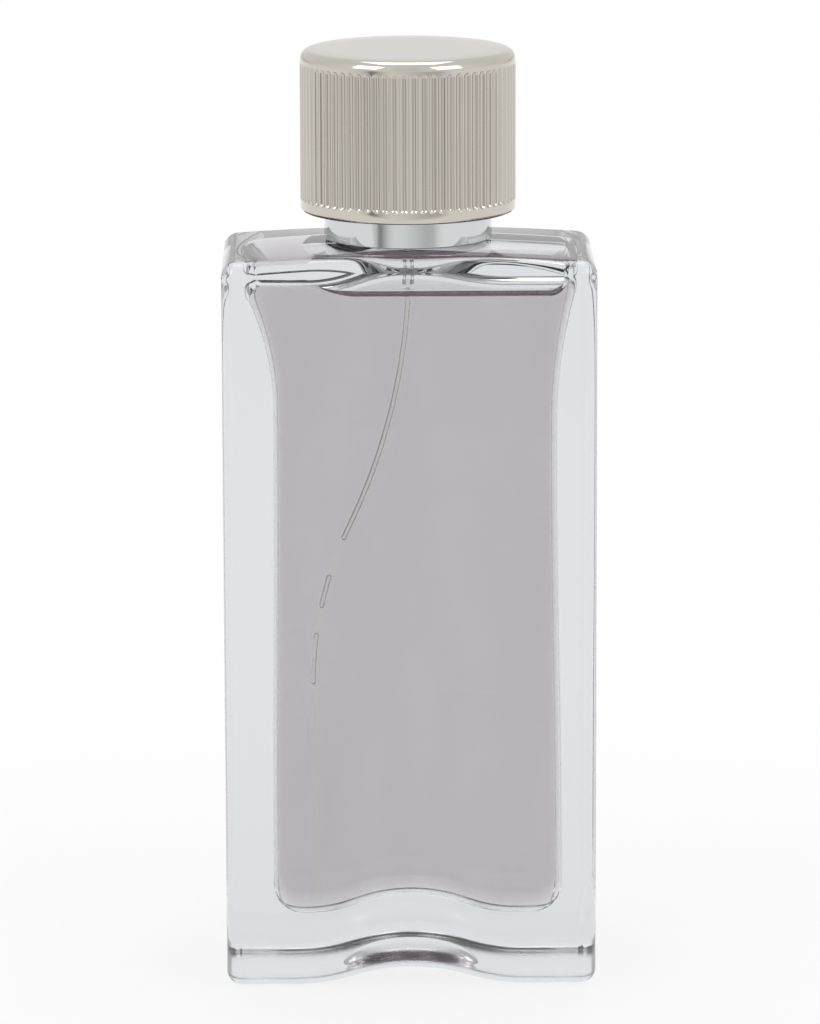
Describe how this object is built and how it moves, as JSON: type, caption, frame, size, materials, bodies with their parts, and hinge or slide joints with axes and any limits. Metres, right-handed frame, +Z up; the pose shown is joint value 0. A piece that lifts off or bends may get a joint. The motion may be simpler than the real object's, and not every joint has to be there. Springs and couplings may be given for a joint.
{
  "type": "aftershave spray bottle",
  "caption": "Clear thick-walled rectangular glass spray bottle with tinted fill, bent dip tube, crimped mist pump, bright collar and lift-off fluted metal cap",
  "frame": {"origin": "centre of the bottle's foot, on the surface it stands on", "axes": "+Z up along the pump's axis, X across the broad face, Y through the bottle's depth with the pictured face towards -Y"},
  "size_m": [0.048, 0.0278, 0.1211],
  "materials": {
    "clear_glass": "clear polished flint glass",
    "tinted_liquid": "clear pale mauve-grey liquid",
    "clear_tube": "clear extruded polymer",
    "pump_plastic": "natural white moulding",
    "piston_plastic": "translucent polyethylene",
    "spring_steel": "bright drawn stainless steel",
    "seal_rubber": "moulded nitrile",
    "gasket_rubber": "pale sealing elastomer",
    "ferrule_aluminium": "bright drawn sheet",
    "collar_mirror": "mirror polished",
    "actuator_metal": "bright champagne anodised",
    "insert_plastic": "moulded acetal",
    "cap_metal": "bright champagne anodised",
    "liner_plastic": "natural polypropylene",
    "weight_steel": "plain turned steel"
  },
  "bodies": {
    "bottle": {"glass_bottle": "clear_glass", "aftershave_liquid": "tinted_liquid", "dip_tube": "clear_tube", "pump_housing": "pump_plastic", "return_spring": "spring_steel", "stem_seal": "seal_rubber", "pump_turret": "pump_plastic", "neck_gasket": "gasket_rubber", "crimp_ferrule": "ferrule_aluminium", "collar_core": "liner_plastic", "collar_sleeve": "collar_mirror"},
    "stem": {"pump_stem": "pump_plastic", "precompression_spring": "spring_steel"},
    "piston": {"piston": "piston_plastic"},
    "inlet_ball": {"inlet_ball": "spring_steel"},
    "actuator": {"actuator_button": "pump_plastic", "actuator_shell": "actuator_metal", "spray_insert": "insert_plastic"},
    "cap": {"cap_shell": "cap_metal", "cap_liner": "liner_plastic", "cap_weight": "weight_steel"}
  },
  "joints": [
    {"name": "cap_lift", "type": "slide", "parent": "bottle", "child": "cap", "axis": [0, 0, 1], "range_m": [0, 0.022]},
    {"name": "spray_press", "type": "slide", "parent": "bottle", "child": "stem", "axis": [0, 0, -1], "range_m": [0, 0.003], "stiffness_N_per_m": 900, "springref_m": -0.004, "deforming": ["return_spring"]},
    {"name": "actuator_turn", "type": "hinge", "parent": "stem", "child": "actuator", "pos_m": [0, 0, 0.1122], "axis": [0, 0, 1], "continuous": true},
    {"name": "piston_lift", "type": "slide", "parent": "stem", "child": "piston", "axis": [0, 0, 1], "range_m": [0, 0.0004], "stiffness_N_per_m": 300, "springref_m": -0.003, "deforming": ["precompression_spring"]},
    {"name": "inlet_ball_lift", "type": "slide", "parent": "bottle", "child": "inlet_ball", "axis": [0, 0, 1], "range_m": [0, 0.0004]}
  ]
}
